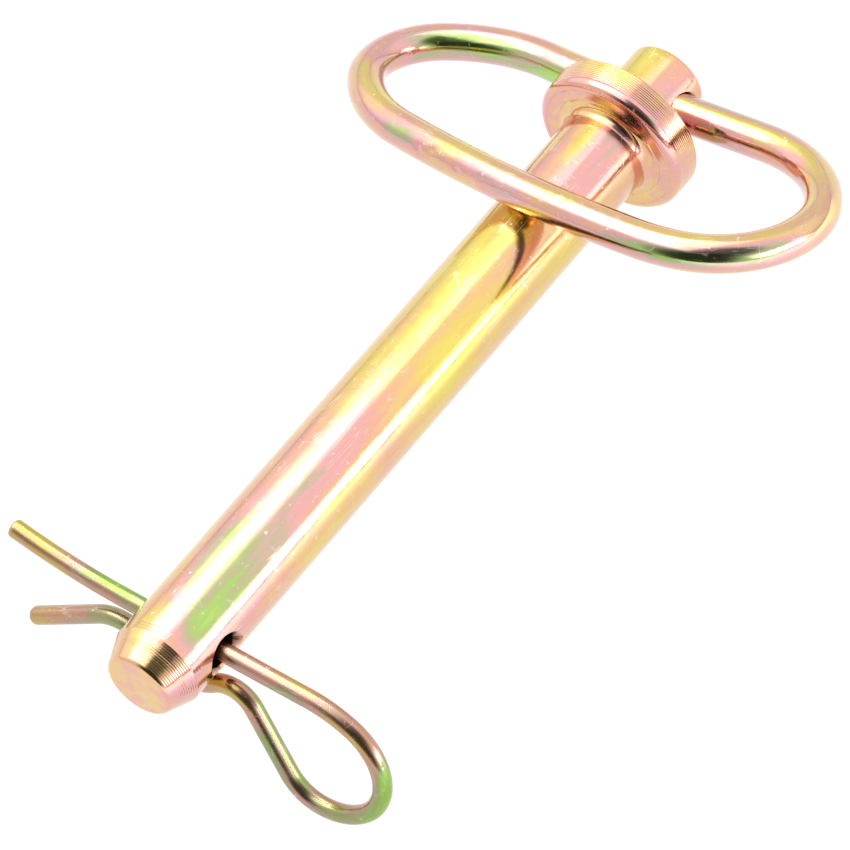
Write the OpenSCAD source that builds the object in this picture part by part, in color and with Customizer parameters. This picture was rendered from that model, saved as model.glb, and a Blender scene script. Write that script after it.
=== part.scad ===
// Hitch pin with a swinging bail handle and a spring hairpin clip.
// The pin lies along X: the origin is the middle of the collar's underside, the
// shank points to -X and +Z is up. The clip's cross hole lies along Y.

/* [Shank] */
// Diameter of the shank, a 5/8 in pin
shank_d = 15.875; // [12.7:0.005:19.05]
// Length from the collar's underside to the tip
shank_len = 130; // [90:1:160]
// Diameter of the flat face at the tip
tip_d = 11.9; // [10.5:0.1:12.5]
// Length of the tapered lead-in at the tip
tip_taper = 5; // [3:0.5:6]
// Radius of the softened edge round the tip's face
tip_edge_r = 0.6; // [0.2:0.1:1]
// Radius of the turned fillet between shank and collar
fillet_r = 1.8; // [1:0.1:2.5]

/* [Collar and head] */
// Diameter of the collar
collar_d = 27.4; // [25:0.1:32]
// Thickness of the collar
collar_t = 6; // [5:0.1:7]
// Radius of the collar's rounded edge on the shank side
collar_edge_r = 1.5; // [0.5:0.1:2]
// Radius of the collar's edge on the head side
collar_back_r = 0.4; // [0.2:0.1:0.8]
// Diameter of the head beyond the collar
head_d = 14; // [13:0.1:16]
// Length of the head beyond the collar
head_len = 12; // [11:0.1:14]
// Radius of the head's softened end
head_edge_r = 0.9; // [0.3:0.1:1.5]

/* [Bail handle] */
// Diameter of the handle's rod, 1/4 in
rod_d = 6.35; // [5:0.05:6.5]
// Gap between the rod and its hole, all round
rod_clearance = 0.09; // [0.05:0.01:0.09]
// Turn of the handle's hole about the pin, from the clip's hole
handle_turn = 10; // [-20:1:20]
// Gap between the resting handle and the shank
handle_rest_gap = 0.1; // [0.05:0.01:0.3]
// Radius and angle of each bend at the wide end
wide_bends = [[21.8, 62.4], [17.4, 101.7], [28.7, 15.7]];
// Radius and angle of the slow sweep across the shank
sweep_bend = [231, 12.7];
// Radius and angle of each bend at the narrow end
narrow_bends = [[24.3, 42.4], [13, 89.4], [25.6, 42.5]];
// Radius of the slight set back into line with the hole
set_r = 91; // [60:1:120]
// Straight length from the hole's middle to that set
rod_straight = 9; // [8:0.5:12]
// Gap in the middle of the hole, where the rod's two ends meet
rod_end_gap = 1; // [0.5:0.1:2]
// Diameter of the countersink at each end of the handle's hole
rod_countersink_d = 7.8; // [6.8:0.1:8.5]

/* [Hairpin clip] */
// Diameter of the clip's wire
wire_d = 3.2; // [2.5:0.1:3.5]
// Distance of the clip's cross hole from the tip's face
clip_hole_from_tip = 12.85; // [11:0.05:16]
// Diameter of the clip's cross hole
clip_hole_d = 6; // [5:0.1:6.5]
// Diameter of the countersink at each end of the cross hole
countersink_d = 8.2; // [6.5:0.1:9]
// Lean of the clip's loop towards the tip
clip_lean = 10; // [0:1:15]
// Gap between the clip's outer leg and the shank
hug_gap = 0.1; // [0.05:0.05:0.5]
// Half the angle that the outer leg wraps under the shank, loop side then end side
hug_angles = [38, 41];
// Radius and angle of the neck between the shank and the loop
neck_bend = [5.3, 91];
// Radius and angle of each bend round the loop, from the neck onwards
loop_bends = [[8.2, 55.6], [11.2, 48.8], [10.2, 106.6]];
// Radius of the loop's last bend, into the straight leg
loop_exit_r = 22.6; // [15:0.1:30]
// Radius and angle of the bend where the outer leg flares away
flare_bend = [8.6, 74.4];
// Length of the flared end
flare_len = 13.9; // [10:0.1:18]
// Length of the straight leg beyond the hole that stays straight
leg_straight = 11.5; // [9:0.5:16]
// Radius of the straight leg's gentle set
leg_set_r = 120; // [80:5:200]
// Distance of the straight leg's end from the pin's axis
leg_reach = 33.5; // [25:0.5:40]

/* [Hidden] */

shank_r = shank_d / 2;
tip_r = tip_d / 2;
collar_r = collar_d / 2;
head_r = head_d / 2;
rod_r = rod_d / 2;
wire_r = wire_d / 2;
round_fn = 120;
tube_fn = 32;
bar_step_down = 0.01;
bar_overlap = 0.1;

yellow_zinc = "#d6b667";
rosy_zinc = "#d7a78c";
straw_zinc = "#c6bd7c";

head_end_x = collar_t + head_len;
handle_x = collar_t + head_len / 2;
clip_x = clip_hole_from_tip - shank_len;

// A path is a list of steps: [radius, angle] is a bend and [0, length] is a straight.
// A bend with a positive angle turns from +u towards +v. A pose is [u, v, heading].
function straight_on(p, length) =
    [p[0] + length * cos(p[2]), p[1] + length * sin(p[2]), p[2]];
function bend_on(p, radius, angle) =
    [p[0] + sign(angle) * radius * (sin(p[2] + angle) - sin(p[2])),
     p[1] - sign(angle) * radius * (cos(p[2] + angle) - cos(p[2])),
     p[2] + angle];
function step_on(p, step) =
    step[0] == 0 ? straight_on(p, step[1]) : bend_on(p, step[0], step[1]);
function follow(p, steps, count) =
    count == 0 ? p : step_on(follow(p, steps, count - 1), steps[count - 1]);
function turn_of(steps, count) =
    count == 0 ? 0 : turn_of(steps, count - 1) + (steps[count - 1][0] == 0 ? 0 : steps[count - 1][1]);

// The handle's rod line in its own plane, starting at the middle of the hole: the wide
// end, the sweep across the shank, the narrow end, and a set back into line with the
// hole. Two straights, worked out here, close it: one after the hole and one in the
// narrow end.
ring_bends = concat(wide_bends, [sweep_bend], narrow_bends);
set_bend = [set_r, 360 - turn_of(ring_bends, len(ring_bends))];
bends_before_fill = len(ring_bends) - 1;
fill_heading = turn_of(ring_bends, bends_before_fill);
ring_unclosed = concat(ring_bends, [set_bend, [0, rod_straight]]);
ring_miss = follow([0, 0, 0], ring_unclosed, len(ring_unclosed));
fill_len = -ring_miss[1] / sin(fill_heading);
start_len = -ring_miss[0] - fill_len * cos(fill_heading);
ring_steps = concat(
    [[0, start_len - rod_end_gap / 2]],
    [for (i = [0 : bends_before_fill - 1]) ring_bends[i]],
    [[0, fill_len], ring_bends[bends_before_fill], set_bend, [0, rod_straight - rod_end_gap / 2]]
);

// The handle rests on the shank where its sweep crosses the pin's middle plane.
sweep_pose = follow([rod_end_gap / 2, 0, 0], ring_steps, 1 + len(wide_bends));
sweep_u = sweep_pose[0] - sweep_bend[0] * sin(sweep_pose[2]);
sweep_v = sweep_pose[1] + sweep_bend[0] * cos(sweep_pose[2]);
handle_reach = sweep_v + sqrt(pow(sweep_bend[0], 2) - pow(sweep_u, 2));
handle_rest = asin((shank_r + rod_r + handle_rest_gap) / handle_reach);

// The clip's wire line in its own plane, from the lowest point under the shank: one
// way round the loop and back along the straight leg, the other way to the flared end.
hug_r = (shank_r + wire_r + hug_gap) / cos(clip_lean);
loop_side_bends = concat(
    [[hug_r, -hug_angles[0]], neck_bend],
    [for (b = loop_bends) [b[0], -b[1]]]
);
loop_exit_turn = 180 + turn_of(loop_side_bends, len(loop_side_bends));
loop_bends_closed = concat(loop_side_bends, [[loop_exit_r, -loop_exit_turn]]);
loop_miss = follow([0, hug_r, 0], loop_bends_closed, len(loop_bends_closed));
neck_heading = neck_bend[1] - hug_angles[0];
neck_len = -loop_miss[1] / sin(neck_heading);
loop_exit_u = loop_miss[0] + neck_len * cos(neck_heading);
leg_set_turn = (leg_reach - leg_straight) / leg_set_r * 180 / PI;
loop_steps = concat(
    [for (i = [0 : 1]) loop_bends_closed[i]],
    [[0, neck_len]],
    [for (i = [2 : len(loop_bends_closed) - 1]) loop_bends_closed[i]],
    [[0, loop_exit_u + leg_straight], [leg_set_r, leg_set_turn]]
);
flare_steps = [[hug_r, hug_angles[1]], [flare_bend[0], -flare_bend[1]], [0, flare_len]];

// One round bar along one step of a path, from pose p, running on by over at each end.
module bar_step(p, step, bar_r, over) {
    if (step[0] == 0)
        translate([p[0], p[1], 0])
            rotate([0, 0, p[2]])
                translate([-over, 0, 0])
                    rotate([0, 90, 0])
                        cylinder(r = bar_r, h = step[1] + 2 * over, $fn = tube_fn);
    else {
        over_angle = over / step[0] * 180 / PI;
        side = sign(step[1]);
        translate([p[0] - side * step[0] * sin(p[2]), p[1] + side * step[0] * cos(p[2]), 0])
            rotate([0, 0, p[2] - side * 90 + min(step[1], 0) - over_angle])
                rotate_extrude(angle = abs(step[1]) + 2 * over_angle, $fn = 2 * round_fn)
                    translate([step[0], 0])
                        circle(r = bar_r, $fn = tube_fn);
    }
}

// A round bar along a whole path. Every second step is thinner by a hundredth and ends
// inside its neighbours, so that the bar is one solid with no coinciding surfaces.
module bar(start, steps, bar_r) {
    for (i = [0 : len(steps) - 1])
        bar_step(
            follow(start, steps, i),
            steps[i],
            bar_r - (i % 2) * bar_step_down,
            (1 - i % 2) * bar_overlap
        );
}

// A countersunk hole right across a round part, along Y.
module cross_hole(x, hole_d, mouth_d, part_r) {
    sink = (mouth_d - hole_d) / 2;
    translate([x, 0, 0])
        rotate([90, 0, 0]) {
            cylinder(d = hole_d, h = 4 * part_r, center = true, $fn = round_fn);
            for (side = [0, 180])
                rotate([side, 0, 0])
                    translate([0, 0, part_r - sink])
                        cylinder(
                            r1 = hole_d / 2,
                            r2 = hole_d / 2 + 3 * sink,
                            h = 3 * sink,
                            $fn = round_fn
                        );
        }
}

// Half the pin's outline: across is the radius, up is towards the head.
module pin_outline() {
    polygon([
        [0, -shank_len],
        [tip_r - tip_edge_r, -shank_len],
        [tip_r, -shank_len + tip_edge_r / 2],
        [shank_r, -shank_len + tip_taper],
        [shank_r, 0],
        [0, 0]
    ]);
    difference() {
        translate([0, -fillet_r])
            square([shank_r + fillet_r, fillet_r]);
        translate([shank_r + fillet_r, -fillet_r])
            circle(r = fillet_r, $fn = round_fn);
    }
    square([collar_r - collar_edge_r, collar_t - collar_back_r]);
    translate([0, collar_edge_r])
        square([collar_r, collar_t - collar_edge_r - collar_back_r]);
    square([collar_r - collar_back_r, collar_t]);
    translate([collar_r - collar_edge_r, collar_edge_r])
        circle(r = collar_edge_r, $fn = round_fn);
    translate([collar_r - collar_back_r, collar_t - collar_back_r])
        circle(r = collar_back_r, $fn = round_fn);
    square([head_r, head_end_x - head_edge_r]);
    square([head_r - head_edge_r, head_end_x]);
    translate([head_r - head_edge_r, head_end_x - head_edge_r])
        circle(r = head_edge_r, $fn = round_fn);
}

module pin() {
    color(rosy_zinc)
        difference() {
            rotate([0, 90, 0])
                rotate_extrude($fn = round_fn)
                    pin_outline();
            cross_hole(clip_x, clip_hole_d, countersink_d, shank_r);
            rotate([-handle_turn, 0, 0])
                cross_hole(handle_x, rod_d + 2 * rod_clearance, rod_countersink_d, head_r);
        }
}

module bail_handle() {
    color(yellow_zinc)
        translate([handle_x, 0, 0])
            rotate([-handle_turn, 0, 0])
                rotate([0, handle_rest, 0])
                    rotate([180, 0, -90])
                        bar([rod_end_gap / 2, 0, 0], ring_steps, rod_r);
}

module hairpin_clip() {
    loop_end = follow([0, hug_r, 0], loop_steps, len(loop_steps));
    flare_end = follow([0, hug_r, 180], flare_steps, len(flare_steps));
    color(straw_zinc)
        translate([clip_x, 0, 0])
            rotate([0, clip_lean, 0])
                rotate([-90, 0, -90]) {
                    bar([0, hug_r, 0], loop_steps, wire_r);
                    bar([0, hug_r, 180], flare_steps, wire_r);
                    for (end = [loop_end, flare_end])
                        translate([end[0], end[1], 0])
                            sphere(r = wire_r - 2 * bar_step_down, $fn = tube_fn);
                }
}

pin();
bail_handle();
hairpin_clip();
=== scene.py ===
import math

import bmesh
import bpy
from mathutils import Matrix, Vector, noise


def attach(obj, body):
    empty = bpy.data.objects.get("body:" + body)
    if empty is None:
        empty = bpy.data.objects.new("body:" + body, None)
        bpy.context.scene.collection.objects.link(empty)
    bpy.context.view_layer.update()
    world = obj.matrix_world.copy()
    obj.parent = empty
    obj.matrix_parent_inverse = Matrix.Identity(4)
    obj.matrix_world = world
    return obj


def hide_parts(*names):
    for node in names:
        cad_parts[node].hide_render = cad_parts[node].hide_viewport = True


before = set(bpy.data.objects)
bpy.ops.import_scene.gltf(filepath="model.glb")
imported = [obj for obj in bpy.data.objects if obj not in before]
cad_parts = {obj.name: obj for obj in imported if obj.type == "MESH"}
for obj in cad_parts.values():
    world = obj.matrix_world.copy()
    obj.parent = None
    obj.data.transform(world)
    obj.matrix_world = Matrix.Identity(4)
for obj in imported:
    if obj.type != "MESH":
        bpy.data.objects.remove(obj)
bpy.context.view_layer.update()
scene = bpy.context.scene
MM = 0.001

# ---------------------------------------------------------------- sizes, in millimetres
SHANK_R = 7.9375
SHANK_LEN = 130.0
TIP_TAPER = 5.0
FILLET_R = 1.8
COLLAR_R = 13.7
COLLAR_T = 6.0
COLLAR_EDGE_R = 1.5
COLLAR_BACK_R = 0.4
HEAD_R = 7.0
HEAD_END = 18.0
HEAD_EDGE_R = 0.9
ROD_R = 3.175
WIRE_R = 1.6
HANDLE_X = 12.0
HANDLE_TURN = math.radians(10)
CLIP_X = -117.15
CLIP_LEAN = math.radians(10)
CLIP_HOLE_R = 3.0
CLIP_MOUTH_R = 4.1
ROD_HOLE_R = 3.265
ROD_MOUTH_R = 3.9
SKIN = 0.006  # how far the handle's and the clip's surfaces stay inside the CAD's own
# How finely the round shapes are divided: points in a ring, and the rings' spacing in millimetres.
PIN_SIDES = 208
HOLE_SIDES = 96
ROD_SIDES, ROD_SPACING = 64, 0.45
WIRE_SIDES, WIRE_SPACING = 48, 0.3


# ---------------------------------------------------------------- mesh helpers
def new_object(name, mesh):
    obj = bpy.data.objects.new(name, mesh)
    scene.collection.objects.link(obj)
    return obj


def smooth(mesh, sharp_degrees=None):
    mesh.polygons.foreach_set("use_smooth", [True] * len(mesh.polygons))
    if sharp_degrees is not None:
        mesh.set_sharp_from_angle(angle=math.radians(sharp_degrees))


def arc(cx, cy, r, start, end, count):
    """Points on an arc, angles in degrees, both ends included."""
    return [
        (
            cx + r * math.cos(math.radians(start + (end - start) * i / count)),
            cy + r * math.sin(math.radians(start + (end - start) * i / count)),
        )
        for i in range(count + 1)
    ]


def scallops(p, q, pitch, depth, rows, jitter, seed):
    """Tool feed marks along the outline from p to q: shallow round valleys between fine ridges.
    A negative depth cuts to the right of the way from p to q, which is into the metal."""
    (x0, y0), (x1, y1) = p, q
    length = math.hypot(x1 - x0, y1 - y0)
    count = max(1, round(length / pitch))
    nx, ny = -(y1 - y0) / length, (x1 - x0) / length
    points = []
    for i in range(count):
        deep = depth * (1 + jitter * noise.noise(Vector((i * 1.7, seed * 3.1, 0.5))))
        for j in range(rows):
            t = j / rows
            across = deep * (1 - (2 * t - 1) ** 2)
            s = (i + t) / count
            points.append((x0 + (x1 - x0) * s + nx * across, y0 + (y1 - y0) * s + ny * across))
    points.append(q)
    return points


def lathe(name, outline, segments):
    """Turns an outline of (x, radius) points about the X axis."""
    bm = bmesh.new()
    rings = []
    for x, r in outline:
        if r < 1e-6:
            rings.append([bm.verts.new((x * MM, 0, 0))])
            continue
        ring = []
        for i in range(segments):
            a = 2 * math.pi * i / segments
            ring.append(bm.verts.new((x * MM, r * MM * math.cos(a), r * MM * math.sin(a))))
        rings.append(ring)
    for a, b in zip(rings, rings[1:]):
        for i in range(segments):
            j = (i + 1) % segments
            if len(a) == 1:
                bm.faces.new((a[0], b[j], b[i]))
            elif len(b) == 1:
                bm.faces.new((a[i], a[j], b[0]))
            else:
                bm.faces.new((a[i], a[j], b[j], b[i]))
    bmesh.ops.recalc_face_normals(bm, faces=bm.faces)
    mesh = bpy.data.meshes.new(name)
    bm.to_mesh(mesh)
    bm.free()
    return new_object(name, mesh)


# ---------------------------------------------------------------- the handle's and clip's paths
def advance(pose, step, part=1.0):
    """The pose after a part of one step: (0, length) is a straight, (radius, degrees) a bend."""
    u, v, h = pose
    if step[0] == 0:
        return (u + step[1] * part * math.cos(h), v + step[1] * part * math.sin(h), h)
    side = math.copysign(1, step[1])
    turn = math.radians(step[1]) * part
    return (
        u + side * step[0] * (math.sin(h + turn) - math.sin(h)),
        v - side * step[0] * (math.cos(h + turn) - math.cos(h)),
        h + turn,
    )


def follow(pose, steps):
    for step in steps:
        pose = advance(pose, step)
    return pose


def step_length(step):
    return step[1] if step[0] == 0 else abs(step[0] * math.radians(step[1]))


def stations(pose, steps, spacing):
    """(u, v, heading, distance) along a path, at most the spacing apart and two or more to a step."""
    found, run = [(*pose, 0.0)], 0.0
    for step in steps:
        length = step_length(step)
        count = max(2, math.ceil(length / spacing))
        for i in range(1, count + 1):
            found.append((*advance(pose, step, i / count), run + length * i / count))
        pose, run = advance(pose, step), run + length
    return found


FRONT_ARC_R = 231  # the radius of the handle's nearly straight bar, which lies on the shank


def handle_path():
    """The egg-shaped bail: its start inside the head, its steps round to its other end, and how far
    it tilts up from the pin's axis to lie on the shank."""
    bends = [(21.8, 62.4), (17.4, 101.7), (28.7, 15.7), (FRONT_ARC_R, 12.7)]
    bends += [(24.3, 42.4), (13, 89.4), (25.6, 42.5)]
    set_bend = (91, 360 - sum(b[1] for b in bends))
    half_gap = 0.5
    straight = 9.0
    miss = follow((0, 0, 0), [*bends, set_bend, (0, straight)])
    heading = math.radians(sum(b[1] for b in bends[:-1]))
    fill = -miss[1] / math.sin(heading)
    first = -miss[0] - fill * math.cos(heading)
    steps = [(0, first - half_gap), *bends[:-1], (0, fill), bends[-1], set_bend, (0, straight - half_gap)]
    at_sweep = follow((half_gap, 0, 0), steps[:4])
    centre_u = at_sweep[0] - FRONT_ARC_R * math.sin(at_sweep[2])
    centre_v = at_sweep[1] + FRONT_ARC_R * math.cos(at_sweep[2])
    reach = centre_v + math.sqrt(FRONT_ARC_R**2 - centre_u**2)
    rest = math.asin((SHANK_R + ROD_R + 0.1) / reach)
    return (half_gap, 0, 0), steps, rest


LEG_BEND = 11.5  # how far past the pin's axis the clip's leg starts to curve a little
LEG_END = 33.5  # how far past it the leg ends, measured along the leg
LEG_ARC_R = 120


def clip_path():
    """The clip: its start at the flared end, and its steps along the shank's side and round the loop
    to the end of the leg through the pin."""
    hug = (SHANK_R + WIRE_R + 0.1) / math.cos(CLIP_LEAN)
    start = (0, hug, 0)
    bends = [(hug, -38), (5.3, 91), (8.2, -55.6), (11.2, -48.8), (10.2, -106.6)]
    bends.append((22.6, -(180 + sum(b[1] for b in bends))))
    miss = follow(start, bends)
    heading = math.radians(bends[0][1] + bends[1][1])
    neck = -miss[1] / math.sin(heading)
    exit_u = miss[0] + neck * math.cos(heading)
    set_turn = math.degrees((LEG_END - LEG_BEND) / LEG_ARC_R)
    loop = [*bends[:2], (0, neck), *bends[2:], (0, exit_u + LEG_BEND), (LEG_ARC_R, set_turn)]
    flare = [(hug, 41), (8.6, -74.4), (0, 13.9)]
    back = [(s[0], -s[1]) if s[0] else s for s in reversed(flare)]
    end = follow((start[0], start[1], math.pi), flare)
    return (end[0], end[1], end[2] - math.pi), [*back, *loop]


def sweep(name, pose, steps, radius, sides, spacing, to_row, start_end, finish_end):
    """A round bar along a path. Each end is a list of (distance past the path's end, radius).
    Its "straight" attribute holds where each point would be on the bar before it was bent."""
    line = stations(pose, steps, spacing)
    rows = []
    u, v, h, _ = line[0]
    for out, r in reversed(start_end):
        rows.append((u - out * math.cos(h), v - out * math.sin(h), h, -out, r))
    rows += [(*s, radius) for s in line]
    u, v, h, run = line[-1]
    for out, r in finish_end:
        rows.append((u + out * math.cos(h), v + out * math.sin(h), h, run + out, r))
    bm = bmesh.new()
    straight = bm.verts.layers.float_vector.new("straight")
    rings = []
    for u, v, h, run, r in rows:
        ring = []
        for i in range(sides if r > 1e-6 else 1):
            a = 2 * math.pi * i / sides
            across, up = r * math.cos(a), r * math.sin(a)
            place = Vector((u - across * math.sin(h), v + across * math.cos(h), up))
            vert = bm.verts.new(to_row @ place * MM)
            vert[straight] = (run, across, up)
            ring.append(vert)
        rings.append(ring)
    for a, b in zip(rings, rings[1:]):
        for i in range(sides):
            j = (i + 1) % sides
            if len(a) == 1:
                bm.faces.new((a[0], b[i], b[j]))
            elif len(b) == 1:
                bm.faces.new((a[i], b[0], a[j]))
            else:
                bm.faces.new((a[i], b[i], b[j], a[j]))
    bmesh.ops.recalc_face_normals(bm, faces=bm.faces)
    mesh = bpy.data.meshes.new(name)
    bm.to_mesh(mesh)
    bm.free()
    smooth(mesh)
    return new_object(name, mesh)


# ---------------------------------------------------------------- the pin
def pin_outline():
    """The turned outline, tip first, with tool marks that are deepest on the collar's rim."""
    points = [(-SHANK_LEN, 0.0)]
    points += scallops((-SHANK_LEN, 0.25), (-SHANK_LEN, 5.2), 0.55, -0.012, 4, 0.5, 1)
    for inset, r in ((0, 5.35), (0.04, 5.6), (0.18, 5.85), (0.42, 6.02)):
        points.append((-SHANK_LEN + inset, r))
    taper_end = (-SHANK_LEN + TIP_TAPER, SHANK_R - 0.03)
    points += scallops((-SHANK_LEN + 0.6, 6.16), taper_end, 0.4, -0.022, 5, 1.6, 2)
    points += [(-SHANK_LEN + TIP_TAPER + 0.15, SHANK_R)]
    points += scallops((-124.6, SHANK_R), (-122.9, SHANK_R), 0.55, -0.02, 4, 0.6, 3)
    points += [(-122 + i, SHANK_R) for i in range(120)]
    points += arc(-FILLET_R, SHANK_R + FILLET_R, FILLET_R, -90, 0, 14)
    points += [(0.03, 9.85), (0.12, 9.95), (0.14, 10.1), (0.06, 10.22), (0.0, 10.3)]
    points += scallops((0.0, 10.35), (0.0, 12.0), 0.42, -0.014, 4, 0.6, 4)
    points += [(0.05, 12.06), (0.06, 12.14)]
    points += arc(COLLAR_EDGE_R, COLLAR_R - COLLAR_EDGE_R, COLLAR_EDGE_R, 180, 90, 14)
    points += scallops((1.62, COLLAR_R), (5.55, COLLAR_R), 0.39, -0.05, 5, 0.6, 5)
    points += arc(COLLAR_T - COLLAR_BACK_R, COLLAR_R - COLLAR_BACK_R, COLLAR_BACK_R, 90, 0, 6)
    points += scallops((COLLAR_T, 13.1), (COLLAR_T, 7.7), 0.5, -0.014, 4, 0.6, 6)
    points += arc(COLLAR_T + 0.4, HEAD_R + 0.4, 0.4, 180, 270, 6)[1:]
    points += [(x, HEAD_R) for x in (7, 8, 9, 10, 11, 12, 13, 14, 15, 16)]
    points += arc(HEAD_END - HEAD_EDGE_R, HEAD_R - HEAD_EDGE_R, HEAD_EDGE_R, 90, 0, 10)
    points += scallops((HEAD_END, 5.9), (HEAD_END, 0.25), 0.5, -0.014, 4, 0.6, 7)
    points.append((HEAD_END, 0.0))
    return points


def hole_cutter(name, hole_r, mouth_r, part_r, place):
    """A countersunk cutter across the pin, along Y before place turns it."""
    sink = mouth_r - hole_r
    far = part_r + 3
    half = [(part_r - sink - 0.12, hole_r), (part_r - sink, hole_r + 0.05), (far, hole_r + sink + 3.05)]
    outline = [(-far, 0.0)] + [(-x, r) for x, r in reversed(half)] + half + [(far, 0.0)]
    cutter = lathe(name, outline, HOLE_SIDES)
    cutter.data.transform(place @ Matrix.Rotation(math.pi / 2, 4, "Z"))
    return cutter


def cut(obj, cutters):
    for cutter in cutters:
        modifier = obj.modifiers.new("hole", "BOOLEAN")
        modifier.operation = "DIFFERENCE"
        modifier.solver = "EXACT"
        modifier.object = cutter
    bpy.context.view_layer.update()
    cut_mesh = bpy.data.meshes.new_from_object(obj.evaluated_get(bpy.context.evaluated_depsgraph_get()))
    obj.modifiers.clear()
    old, obj.data = obj.data, cut_mesh
    bpy.data.meshes.remove(old)
    for cutter in cutters:
        mesh = cutter.data
        bpy.data.objects.remove(cutter)
        bpy.data.meshes.remove(mesh)


def round_normals(mesh):
    """True normals on the plain round stretches, so that the holes' cut faces shade as the turned bar."""
    stretches = [(-122.5 * MM, -3 * MM, SHANK_R), (6.6 * MM, 16.6 * MM, HEAD_R)]
    normals = [(0.0, 0.0, 0.0)] * len(mesh.loops)
    for face in mesh.polygons:
        points = [mesh.vertices[i].co for i in face.vertices]
        for low, high, r in stretches:
            if all(low < p.x < high and abs(math.hypot(p.y, p.z) - r * MM) < 0.004 * MM for p in points):
                for loop, p in zip(face.loop_indices, points):
                    normals[loop] = Vector((0, p.y, p.z)).normalized()
    mesh.normals_split_custom_set(normals)


def make_pin():
    outline = [(x, max(0.0, r)) for x, r in pin_outline()]
    pin = lathe("turned_pin", outline, PIN_SIDES)
    clip_place = Matrix.Translation((CLIP_X * MM, 0, 0))
    rod_place = Matrix.Translation((HANDLE_X * MM, 0, 0)) @ Matrix.Rotation(-HANDLE_TURN, 4, "X")
    cut(
        pin,
        [
            hole_cutter("clip_hole_cutter", CLIP_HOLE_R, CLIP_MOUTH_R, SHANK_R, clip_place),
            hole_cutter("rod_hole_cutter", ROD_HOLE_R, ROD_MOUTH_R, HEAD_R, rod_place),
        ],
    )
    smooth(pin.data, 26)
    round_normals(pin.data)
    straight = pin.data.attributes.new("straight", "FLOAT_VECTOR", "POINT")
    for i, vert in enumerate(pin.data.vertices):
        straight.data[i].vector = vert.co / MM
    return pin


def rounded_end(r, corner, flat_out):
    """An end sheared flat and tumbled round: a corner radius, then a nearly flat face."""
    points = [(corner * math.sin(a), r - corner + corner * math.cos(a)) for a in (0.3, 0.6, 0.9, 1.2, 1.45)]
    points += [(corner + flat_out * 0.7, (r - corner) * 0.6), (corner + flat_out, (r - corner) * 0.2)]
    return [*points, (corner + flat_out * 1.02, 0.0)]


# Nicks in the handle: (distance mm, angle round the rod, length mm, width in degrees, depth mm).
HANDLE_NICKS = (
    (126.0, -150, 0.75, 12, 0.22),
    (129.0, -166, 0.6, 14, 0.25),
    (120.0, -170, 0.7, 10, 0.20),
    (115.0, -158, 0.6, 9, 0.16),
    (99.0, -120, 0.6, 8, 0.10),
)


def knock(obj, nicks):
    """Presses nicks into a bar's surface. Their places are in the terms of its "straight" attribute."""
    mesh = obj.data
    places = [Vector(item.vector) for item in mesh.attributes["straight"].data]
    normals = [vertex.normal.copy() for vertex in mesh.vertices]
    for vertex, normal, place in zip(mesh.vertices, normals, places):
        angle = math.degrees(math.atan2(place.z, place.y))
        for run, at_angle, length, width, depth in nicks:
            if abs(place.x - run) < 3 * length:
                fall = ((place.x - run) / length) ** 2 + (turn_between(angle, at_angle) / width) ** 2
                vertex.co -= normal * depth * math.exp(-fall) * MM


def make_handle():
    pose, steps, rest = handle_path()
    to_row = (
        Matrix.Translation((HANDLE_X, 0, 0))
        @ Matrix.Rotation(-HANDLE_TURN, 4, "X")
        @ Matrix.Rotation(rest, 4, "Y")
        @ Matrix.Rotation(math.radians(-90), 4, "Z")
        @ Matrix.Rotation(math.pi, 4, "X")
    )
    end = rounded_end(ROD_R - SKIN, 0.3, 0.02)
    return sweep("bent_handle", pose, steps, ROD_R - SKIN, ROD_SIDES, ROD_SPACING, to_row, end, end)


def make_clip():
    pose, steps = clip_path()
    to_row = (
        Matrix.Translation((CLIP_X, 0, 0))
        @ Matrix.Rotation(CLIP_LEAN, 4, "Y")
        @ Matrix.Rotation(math.radians(-90), 4, "Z")
        @ Matrix.Rotation(math.radians(-90), 4, "X")
    )
    r = WIRE_R - SKIN
    dome = rounded_end(r, 1.15, 0.3)
    sheared = rounded_end(r, 0.6, 0.15)
    return sweep("wire_clip", pose, steps, r, WIRE_SIDES, WIRE_SPACING, to_row, dome, sheared)


# ---------------------------------------------------------------- the chromate film's patches
# Film values run through the plating's colours: 0 lemon, 0.1 gold, 0.2 orange, 0.3 salmon, 0.4 pink,
# 0.5 tan, 0.66 green, 0.78 lime, 0.9 olive yellow and 1 lemon again.

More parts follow.
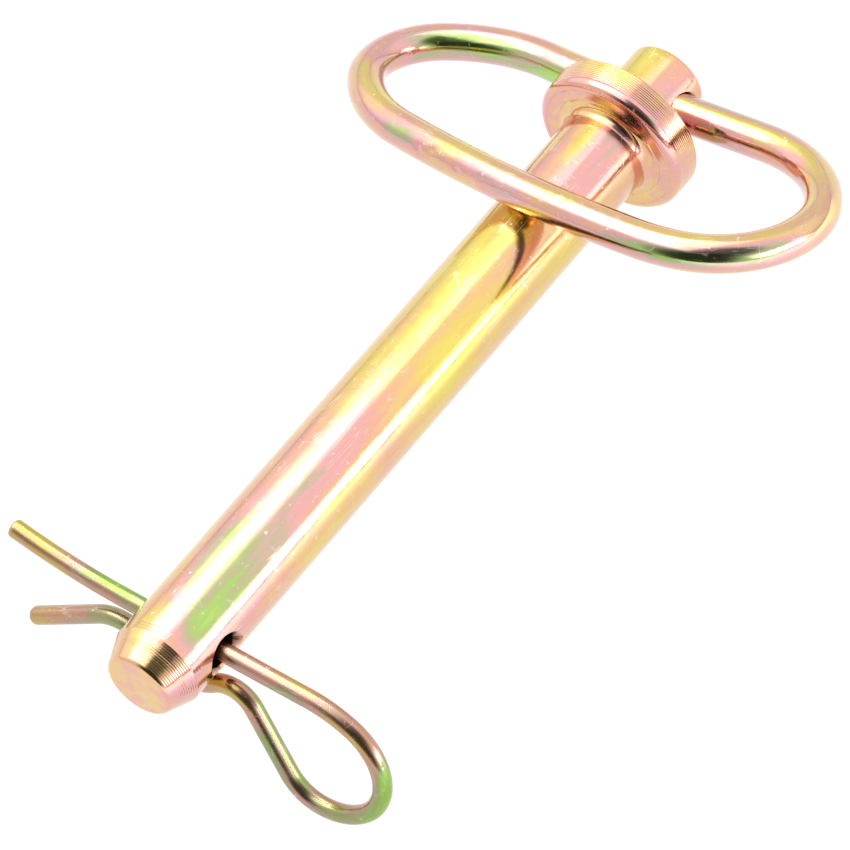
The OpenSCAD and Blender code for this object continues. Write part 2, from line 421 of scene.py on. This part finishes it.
# Pin: (x mm, radius mm, angle from +Y towards +Z, spread mm, spread degrees, film).
PIN_PATCHES = [
    # the upper side, from the tip to the collar
    (-121, 8, 104, 4, 8, 0.42),
    (-106, 8, 114, 13, 26, 0.67),
    (-117, 8, 122, 7, 14, 0.76),
    (-88, 8, 110, 7, 16, 0.5),
    (-89, 8, 128, 7, 9, 0.4),
    (-72, 8, 113, 9, 20, 0.35),
    (-52, 8, 112, 13, 18, 0.14),
    (-48, 8, 130, 14, 9, 0.04),
    (-36, 8, 112, 5, 16, 0.27),
    (-31, 8, 128, 5, 14, 0.38),
    (-12, 8, 118, 8, 20, 0.36),
    (-9, 8, 134, 5, 8, 0.46),
    (-5, 8, 116, 4, 14, 0.62),
    # the left side
    (-123, 8, 73, 5, 12, 0.02),
    (-117, 8, 64, 6, 10, 0.3),
    (-107, 8, 70, 9, 8, 0.5),
    (-105, 8, 81, 9, 8, 0.72),
    (-88, 8, 67, 12, 14, 0.3),
    (-62, 8, 68, 14, 16, 0.1),
    (-40, 8, 74, 10, 16, 0.02),
    (-12, 8, 68, 7, 12, 0.36),
    (-5, 8, 82, 5, 10, 0.04),
    # the right side
    (-113, 8, 175, 5, 26, 0.38),
    (-101, 8, 176, 7, 28, 0.27),
    (-87, 8, 178, 9, 26, 0.18),
    (-68, 8, 172, 9, 28, 0.23),
    (-54, 8, 158, 10, 16, 0.09),
    (-44, 8, 182, 8, 26, 0.23),
    (-30, 8, 174, 7, 20, 0.16),
    (-10, 8, 165, 7, 20, 0.24),
    # the tip: its taper and its face
    (-127, 7, 60, 5, 30, 0.34),
    (-126, 7, 112, 4, 30, 0.06),
    (-127, 7, 165, 4, 20, 0.5),
    (-127, 7, 190, 4, 16, 0.36),
    (-130, 3, 100, 4, 90, 0.25),
    (-130, 3, -80, 4, 90, 0.25),
    (-130, 5, 20, 2, 30, 0.08),
    (-130, 4, 90, 1.2, 30, 0.36),
    # the collar's underside
    (0, 12, 60, 4, 34, 0.38),
    (0, 13, 15, 3, 22, 0.45),
    (0, 12, -20, 4, 24, 0.36),
    (0, 12, 110, 3, 24, 0.33),
    (0, 12, 160, 4, 40, 0.32),
    (0, 9.6, 100, 1.2, 90, 0.08),
    # the collar's edge and rim
    (1, 13.4, 75, 1.2, 18, 0.5),
    (1, 13.4, 125, 1.3, 30, 0.62),
    (4, 13.7, 80, 3, 30, 0.07),
    (4, 13.7, 130, 3, 20, 0.34),
    (4, 13.7, 165, 3, 18, 0.2),
    # the head
    (12, 7, 75, 7, 18, 0.04),
    (9, 7, 66, 3, 12, 0.14),
    (12, 7, 128, 7, 26, 0.42),
    (12, 7, 165, 7, 20, 0.36),
    (9, 7, 140, 3, 12, 0.46),
]

# Handle: (distance mm, angle round the rod, spread mm, spread degrees, film).
HANDLE_PATCHES = [
    (24, -80, 16, 24, 0.02),
    (20, -100, 12, 14, 0.88),
    (31, -40, 7, 20, 0.36),
    (28, 10, 14, 36, 0.38),
    (15, 10, 4, 30, 0.62),
    (47, -115, 7, 20, 0.22),
    (50, -85, 8, 18, 0.1),
    (45, -50, 6, 18, 0.2),
    (58, -110, 5, 14, 0.12),
    (65, -148, 4, 16, 0.7),
    (75, -172, 9, 22, 0.9),
    (85, -165, 4, 20, 0.55),
    (102, -168, 12, 22, 0.4),
    (80, -98, 24, 16, 0.16),
    (112, -165, 8, 24, 0.42),
    (124, -168, 5, 20, 0.36),
    (133, -155, 4.5, 22, 0.7),
    (142, -150, 5, 40, 0.32),
    (120, -92, 14, 18, 0.2),
    (148, -92, 7, 18, 0.06),
    (160, -50, 8, 40, 0.36),
    (152, -150, 8, 30, 0.2),
    (162, -90, 4, 20, 0.46),
    (170, -48, 6, 20, 0.7),
    (181, -42, 7, 12, 0.76),
    (180, -18, 9, 16, 0.88),
    (172, 8, 5, 18, 0.64),
    (190, 12, 9, 26, 0.66),
    (198, 0, 4, 40, 0.8),
    (178, 36, 10, 16, 0.42),
    (188, -84, 14, 14, 0.32),
    (100, 160, 30, 40, 0.28),
    (200, 160, 30, 60, 0.2),
]

# Clip: (distance mm, angle round the wire, spread mm, spread degrees, film).
CLIP_PATCHES = [
    (2, -130, 4, 60, 0.22),
    (9, -115, 3, 24, 0.14),
    (8, -85, 3, 24, 0.6),
    (9, -170, 7, 24, 0.4),
    (16, -95, 4, 40, 0.56),
    (42, -120, 4, 50, 0.16),
    (48, -90, 3, 40, 0.4),
    (52, -95, 2.5, 30, 0.64),
    (57, -95, 4, 30, 0.44),
    (62, -90, 4, 30, 0.42),
    (55, 160, 9, 40, 0.6),
    (66, 150, 4, 30, 0.42),
    (71, -110, 6, 50, 0.58),
    (78, -90, 5, 40, 0.52),
    (82, -40, 5, 60, 0.9),
    (88, -115, 4, 30, 0.3),
    (91, -120, 3, 40, 0.22),
    (96, -100, 4, 40, 0.1),
    (99, 30, 5, 30, 0.34),
    (108, 30, 6, 40, 0.22),
    (112, -100, 8, 50, 0.52),
    (138, -20, 4, 50, 0.6),
    (142, 0, 2.5, 30, 0.9),
    (146, -20, 3, 40, 0.6),
    (140, -110, 6, 40, 0.4),
    (151, 10, 2.5, 50, 0.38),
    (156, 0, 4, 50, 0.04),
    (154, -100, 8, 50, 0.14),
    (161, 0, 3, 90, 0.02),
]


PATCH_WEIGHT = 4  # of a patch at its middle, where the base film weighs 1
WEIGHT_CUT = 0.002  # a patch that weighs less is left out


def rod_patches(patches, radius):
    return [(run, radius, *rest) for run, *rest in patches]


def turn_between(a, b):
    return (a - b + 180) % 360 - 180


def near_patches(run, radius, patches):
    """(weight, angle, spread of the angle, film) of the patches that reach a ring round the bar."""
    found = []
    for at_run, at_radius, angle, spread, spread_turn, value in patches:
        weight = PATCH_WEIGHT * math.exp(-((run - at_run) ** 2 + (radius - at_radius) ** 2) / spread**2)
        if weight > WEIGHT_CUT:
            found.append((weight, angle, spread_turn, value))
    return found


def paint_bore_shade(obj):
    """Marks the insides of the pin's cross holes, which the plating colours dark brown as painted shade."""
    marks = []
    for item in obj.data.attributes["straight"].data:
        x, y, z = item.vector
        radius = math.hypot(y, z)
        in_clip_hole = abs(x - CLIP_X) < CLIP_MOUTH_R + 0.1 and radius < SHANK_R - 0.5
        in_rod_hole = abs(x - HANDLE_X) < ROD_MOUTH_R + 0.1 and radius < HEAD_R - 0.3
        marks.append(1.0 if in_clip_hole or in_rod_hole else 0.0)
    obj.data.attributes.new("painted_bore_shade", "FLOAT", "POINT").data.foreach_set("value", marks)


def paint_film(obj, patches, base, drift):
    """Writes the film's value at each point of a mesh, from the point's distance along the bar,
    its radius and its angle round it. Each patch has its own place in the same terms."""
    mesh = obj.data
    places = [Vector(item.vector) for item in mesh.attributes["straight"].data]
    values, rings = [], {}
    for place in places:
        run, radius = place.x, math.hypot(place.y, place.z)
        angle = math.degrees(math.atan2(place.z, place.y))
        ring = (round(run, 2), round(radius, 2))
        if ring not in rings:
            rings[ring] = near_patches(run, radius, patches)
        total, film = 1.0, base
        for weight, at_angle, spread_turn, value in rings[ring]:
            weight *= math.exp(-((turn_between(angle, at_angle) / spread_turn) ** 2))
            film += weight * value
            total += weight
        wander = noise.noise(place * 0.06 + Vector((drift, 0, 0)))
        wander += 0.5 * noise.noise(place * 0.17 + Vector((0, drift, 0)))
        values.append(film / total + 0.1 * wander)
    mesh.attributes.new("film", "FLOAT", "POINT").data.foreach_set("value", values)


# ---------------------------------------------------------------- shader helpers
def node(tree, kind, inputs=None, **settings):
    """Adds a node. Inputs are values or other nodes' outputs."""
    made = tree.nodes.new(kind)
    for key, value in settings.items():
        setattr(made, key, value)
    for key, value in (inputs or {}).items():
        if isinstance(value, bpy.types.NodeSocket):
            tree.links.new(value, made.inputs[key])
        else:
            made.inputs[key].default_value = value
    return made


def calc(tree, operation, a, b):
    return node(tree, "ShaderNodeMath", {0: a, 1: b}, operation=operation).outputs[0]


def stretch(tree, vector, scale):
    return node(tree, "ShaderNodeMapping", {"Vector": vector, "Scale": scale}).outputs[0]


def speckle(tree, vector, scale, detail=2.0, rough=0.5, distortion=0.0):
    values = {
        "Vector": vector,
        "Scale": scale,
        "Detail": detail,
        "Roughness": rough,
        "Distortion": distortion,
    }
    return node(tree, "ShaderNodeTexNoise", values).outputs[0]


def between(tree, value, low, high, to_low=0.0, to_high=1.0):
    values = {"Value": value, "From Min": low, "From Max": high, "To Min": to_low, "To Max": to_high}
    return node(tree, "ShaderNodeMapRange", values, interpolation_type="SMOOTHSTEP").outputs[0]


def blend(tree, factor, a, b):
    """Mixes two colours. The mix node's sockets 0, 6 and 7 are the factor and the colours A and B."""
    made = node(tree, "ShaderNodeMix", data_type="RGBA", blend_type="MIX")
    for key, value in ((0, factor), (6, a), (7, b)):
        if isinstance(value, bpy.types.NodeSocket):
            tree.links.new(value, made.inputs[key])
        else:
            made.inputs[key].default_value = value
    return made.outputs[2]


def hairlines(tree, vector, scale, width, mask_scale, mask_low):
    """Fine scratches: the walls of stretched cells, kept only here and there."""
    cells = node(
        tree,
        "ShaderNodeTexVoronoi",
        {"Vector": stretch(tree, vector, scale), "Scale": 1.0, "Randomness": 1.0},
        feature="DISTANCE_TO_EDGE",
    )
    line = between(tree, cells.outputs[0], width, 0.0)
    mask = between(tree, speckle(tree, vector, mask_scale, 3.0), mask_low, mask_low + 0.08)
    return calc(tree, "MULTIPLY", line, mask)


FILM_COLOURS = (
    (0.00, (0.80, 0.67, 0.140)),
    (0.10, (0.79, 0.59, 0.160)),
    (0.20, (0.80, 0.51, 0.240)),
    (0.30, (0.79, 0.42, 0.310)),
    (0.40, (0.78, 0.395, 0.400)),
    (0.50, (0.57, 0.44, 0.330)),
    (0.57, (0.48, 0.47, 0.250)),
    (0.66, (0.40, 0.58, 0.170)),
    (0.78, (0.46, 0.67, 0.140)),
    (0.90, (0.64, 0.65, 0.150)),
    (1.00, (0.80, 0.67, 0.140)),
)


def plating(name, grain, grain_height, rough, dulling, coat, mottle, seed):
    """Yellow chromate over zinc: a mirror-like metal whose colour follows the film value,
    with the grain of the bar under it, light scuffs and fine scratches."""
    material = bpy.data.materials.new(name)
    material.use_nodes = True
    tree = material.node_tree
    tree.nodes.clear()
    place = node(tree, "ShaderNodeAttribute", attribute_name="straight").outputs["Vector"]
    place = node(tree, "ShaderNodeVectorMath", {0: place, 1: (seed, 0.0, 0.0)}, operation="ADD").outputs[0]
    film = node(tree, "ShaderNodeAttribute", attribute_name="film").outputs["Fac"]

    streaks = speckle(tree, stretch(tree, place, (0.1, 0.5, 0.5)), 1.0, 4.0, 0.6)
    film = calc(tree, "ADD", film, between(tree, streaks, 0.3, 0.7, -mottle, mottle))
    ramp = node(tree, "ShaderNodeValToRGB", {"Fac": film})
    ramp.color_ramp.interpolation = "EASE"
    stops = ramp.color_ramp.elements
    for i, (value, colour) in enumerate(FILM_COLOURS):
        stop = stops[i] if i < 2 else stops.new(value)
        stop.position = value
        stop.color = (*(a * b for a, b in zip(colour, dulling)), 1.0)
    colour = ramp.outputs[0]

    scuff_noise = speckle(tree, place, 0.9, 5.0, 0.65, 0.4)
    scuffs = between(tree, scuff_noise, 0.63, 0.69)
    long_lines = hairlines(tree, place, grain[0], 0.035, 0.21, 0.54)
    cross_lines = hairlines(tree, place, grain[1], 0.028, 0.3, 0.57)
    lines = calc(tree, "MAXIMUM", long_lines, cross_lines)
    wear = calc(tree, "MAXIMUM", scuffs, calc(tree, "MULTIPLY", lines, 0.7))
    colour = blend(tree, calc(tree, "MULTIPLY", wear, 0.55), colour, (0.72, 0.68, 0.6, 1.0))
    # painted shade: the insides of the pin's cross holes turn dark brown
    painted_bore_shade = node(tree, "ShaderNodeAttribute", attribute_name="painted_bore_shade").outputs["Fac"]
    colour = blend(tree, painted_bore_shade, colour, (0.13, 0.075, 0.03, 1.0))

    cloud = speckle(tree, place, 0.35, 3.0)
    roughness = between(tree, cloud, 0.3, 0.7, rough - 0.03, rough + 0.03)
    roughness = calc(tree, "ADD", roughness, calc(tree, "MULTIPLY", wear, 0.22))

    ripple = speckle(tree, stretch(tree, place, grain[2]), 1.0, 3.0, 0.55)
    peel = speckle(tree, place, 1.6, 2.0)
    height = calc(tree, "ADD", ripple, calc(tree, "MULTIPLY", peel, 0.25))
    height = calc(tree, "SUBTRACT", height, calc(tree, "MULTIPLY", lines, 0.6))
    bump = node(tree, "ShaderNodeBump", {"Height": height, "Strength": 1.0, "Distance": grain_height * MM})

    shader = node(
        tree,
        "ShaderNodeBsdfPrincipled",
        {
            "Base Color": colour,
            "Metallic": 1.0,
            "Roughness": roughness,
            "Normal": bump.outputs[0],
            "Coat Weight": coat,
            "Coat Roughness": 0.06,
        },
    )
    node(tree, "ShaderNodeOutputMaterial", {"Surface": shader.outputs[0]})
    return material


pin = make_pin()
handle = make_handle()
clip = make_clip()
# painted shade inside the pin's cross holes
paint_bore_shade(pin)
paint_film(pin, PIN_PATCHES, 0.18, 3.0)
knock(handle, HANDLE_NICKS)
paint_film(handle, rod_patches(HANDLE_PATCHES, ROD_R), 0.22, 11.0)
paint_film(clip, rod_patches(CLIP_PATCHES, WIRE_R), 0.4, 23.0)
# How closely the lengthwise scratches, the cross scratches and the grain repeat, along the bar and across.
TURNED_GRAIN = ((0.05, 0.9, 0.9), (0.7, 0.25, 0.25), (1.8, 0.35, 0.35))
DRAWN_GRAIN = ((0.06, 1.1, 1.1), (0.6, 0.5, 0.5), (0.12, 1.6, 1.6))
turned_plating = plating(
    "turned_plating",
    TURNED_GRAIN,
    grain_height=0.006,
    rough=0.15,
    dulling=(0.96, 0.96, 0.94),
    coat=0.5,
    mottle=0.07,
    seed=0.0,
)
drawn_plating = plating(
    "drawn_plating",
    DRAWN_GRAIN,
    grain_height=0.004,
    rough=0.16,
    dulling=(0.9, 0.92, 0.94),
    coat=0.6,
    mottle=0.11,
    seed=40.0,
)
wire_plating = plating(
    "wire_plating",
    DRAWN_GRAIN,
    grain_height=0.004,
    rough=0.25,
    dulling=(0.62, 0.68, 0.54),
    coat=0.15,
    mottle=0.11,
    seed=90.0,
)
pin.data.materials.append(turned_plating)
handle.data.materials.append(drawn_plating)
clip.data.materials.append(wire_plating)
for piece, body, cad_node, slot in (
    (pin, "pin", "pin", "pin_plating"),
    (handle, "bail_handle", "bail_handle", "handle_plating"),
    (clip, "hairpin_clip", "hairpin_clip", "clip_plating"),
):
    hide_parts(cad_node)
    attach(piece, body)

# ---------------------------------------------------------------- the studio
FLOOR_TILT = math.radians(4.16)  # the pin lies on its collar's rim and its clip's loop
# The studio's own axes: level with the floor, with their origin near the pin's middle.
STUDIO = Matrix.Rotation(-FLOOR_TILT, 4, "Y") @ Matrix.Translation((-60 * MM, 0, 0))
# The tilted collar's lowest corner, with a little air so that neither it nor the clip sinks in.
FLOOR_DROP = (COLLAR_R * math.cos(FLOOR_TILT) + COLLAR_T * math.sin(FLOOR_TILT) + 0.03) * MM
FLOOR_GLOW_AND_PAINTED_LIGHT = (1.0, 1.9)  # the floor's glow on the pin's +Y side and on its -Y side, where the low softbox stands; the rise to the -Y side is painted light from that softbox
FLOOR_RAMP = (-0.03, -0.16)  # the y, in metres, where the painted light starts to rise and where it is full
FLOOR_HALF = 4.0  # half the floor's width, in metres
WALLS = 1.0
# Soft-edged areas of the walls: (azimuth, elevation), inner and outer radius in degrees, and how many
# times the plain wall's light they give.
ROOM = (
    ((200, 26), 22, 46, 0.04),
    ((242, 60), 14, 34, 0.14),
    ((85, 34), 10, 38, 1.5),
    ((325, 42), 16, 40, 1.25),
)
SKIRTING = (0.7, 0.1)  # the same for the walls' foot, at its lightest and at its darkest
SKIRTING_DARKEST = (285, 0)  # azimuth and elevation
SKIRTING_SPREAD = (0.2, 0.6)  # the cosines of the angles from there between which it changes
SKIRTING_TOP = (0.03, 0.06)  # the sines of the elevations between which it ends


def toward(tree, look, azimuth, elevation):
    """The cosine of the angle between a look direction and a direction in the studio."""
    values = {0: look, 1: direction(azimuth, elevation)}
    return node(tree, "ShaderNodeVectorMath", values, operation="DOT_PRODUCT").outputs["Value"]


def direction(azimuth, elevation):
    """A direction in the studio: azimuth 0 is +X, toward the pin's head, and 90 is +Y."""
    a, e = math.radians(azimuth), math.radians(elevation)
    return STUDIO.to_3x3() @ Vector((math.cos(a) * math.cos(e), math.sin(a) * math.cos(e), math.sin(e)))


def make_floor():
    """The floor glows white, and its glow rises on the side of the low softbox as painted light from that
    softbox.
    """
    bm = bmesh.new()
    for x, y in ((-1, -1), (1, -1), (1, 1), (-1, 1)):
        bm.verts.new(STUDIO @ Vector((x * FLOOR_HALF, y * FLOOR_HALF, -FLOOR_DROP)))
    bm.faces.new(bm.verts)
    mesh = bpy.data.meshes.new("floor")
    bm.to_mesh(mesh)
    bm.free()
    floor = new_object("floor", mesh)
    material = bpy.data.materials.new("glowing_floor_with_painted_light")
    material.use_nodes = True
    tree = material.node_tree
    tree.nodes.clear()
    place = node(tree, "ShaderNodeTexCoord").outputs["Object"]
    across = node(tree, "ShaderNodeSeparateXYZ", {0: place}).outputs[1]
    # painted light: the glow rises toward the low softbox's side
    glow_and_painted_light = between(tree, across, *FLOOR_RAMP, *FLOOR_GLOW_AND_PAINTED_LIGHT)
    shader = node(
        tree,
        "ShaderNodeBsdfPrincipled",
        {
            "Base Color": (0.04, 0.04, 0.04, 1.0),
            "Roughness": 0.9,
            "Specular IOR Level": 0.0,
            "Emission Color": (1.0, 1.0, 1.0, 1.0),
            "Emission Strength": glow_and_painted_light,
        },
    )
    node(tree, "ShaderNodeOutputMaterial", {"Surface": shader.outputs[0]})
    mesh.materials.append(material)


def make_world():
    """Plain walls: two dim areas of the room, two brighter ones, and a dark skirting."""
    world = bpy.data.worlds.new("studio")
    scene.world = world
    world.use_nodes = True
    tree = world.node_tree
    tree.nodes.clear()
    look = node(tree, "ShaderNodeTexCoord").outputs["Generated"]
    look = node(tree, "ShaderNodeVectorMath", {0: look}, operation="NORMALIZE").outputs[0]
    light = WALLS
    for (azimuth, elevation), inner, outer, factor in ROOM:
        edge = (math.cos(math.radians(outer)), math.cos(math.radians(inner)))
        area = between(tree, toward(tree, look, azimuth, elevation), *edge, 1.0, factor)
        light = calc(tree, "MULTIPLY", light, area)
    skirting = between(tree, toward(tree, look, *SKIRTING_DARKEST), *SKIRTING_SPREAD, *SKIRTING)
    above = between(tree, toward(tree, look, 0, 90), *SKIRTING_TOP, skirting, 1.0)
    light = calc(tree, "MULTIPLY", light, above)
    background = node(tree, "ShaderNodeBackground", {"Color": (1.0, 0.985, 0.96, 1.0), "Strength": light})
    node(tree, "ShaderNodeOutputWorld", {"Surface": background.outputs[0]})


def softbox(name, centre, size, radiance, facing):
    """A rectangular light, placed and sized in metres in the studio. The camera does not see it."""
    data = bpy.data.lights.new(name, "AREA")
    data.shape = "RECTANGLE"
    data.size, data.size_y = size
    data.energy = radiance * math.pi * size[0] * size[1]
    lamp = new_object(name, data)
    away = -(STUDIO.to_3x3() @ Vector(facing)).normalized()
    turn = away.to_track_quat("Z", "Y").to_matrix().to_4x4()
    lamp.matrix_world = Matrix.Translation(STUDIO @ Vector(centre)) @ turn
    lamp.visible_camera = False


make_floor()
make_world()
softbox("overhead_softbox", (0.09, 0.45, 0.8), (0.68, 0.78), 11.0, (0, 0, -1))
softbox("overhead_rim", (0.09, 0.46, 0.8), (0.84, 0.96), 3.2, (0, 0, -1))
softbox("overhead_edge", (0.09, 0.5, 0.8), (1.1, 1.2), 0.7, (0, 0, -1))
softbox("side_softbox", (0.14, -0.62, 0.15), (0.5, 0.16), 6.0, (0, 1, 0))
softbox("side_edge", (0.14, -0.62, 0.165), (0.7, 0.24), 1.2, (0, 1, 0))
scene.view_settings.view_transform = "Standard"

# ---------------------------------------------------------------- camera
CAMERA_AIM = Vector((-63.4, -7.9, 0)) * MM
CAMERA_DISTANCE = 1.197
CAMERA_AZIMUTH = math.radians(-51.94)
CAMERA_ELEVATION = math.radians(52.24)
CAMERA_ROLL = math.radians(-3.9)
CAMERA_LENS = 318.6


def make_camera():
    data = bpy.data.cameras.new("camera")
    data.sensor_width = 36
    data.lens = CAMERA_LENS
    data.clip_start = 0.1
    data.clip_end = 20
    camera = new_object("camera", data)
    turn = (
        Matrix.Rotation(CAMERA_AZIMUTH, 4, "Z")
        @ Matrix.Rotation(math.pi / 2 - CAMERA_ELEVATION, 4, "X")
        @ Matrix.Rotation(CAMERA_ROLL, 4, "Z")
    )
    camera.matrix_world = Matrix.Translation(CAMERA_AIM) @ turn @ Matrix.Translation((0, 0, CAMERA_DISTANCE))
    scene.camera = camera


make_camera()
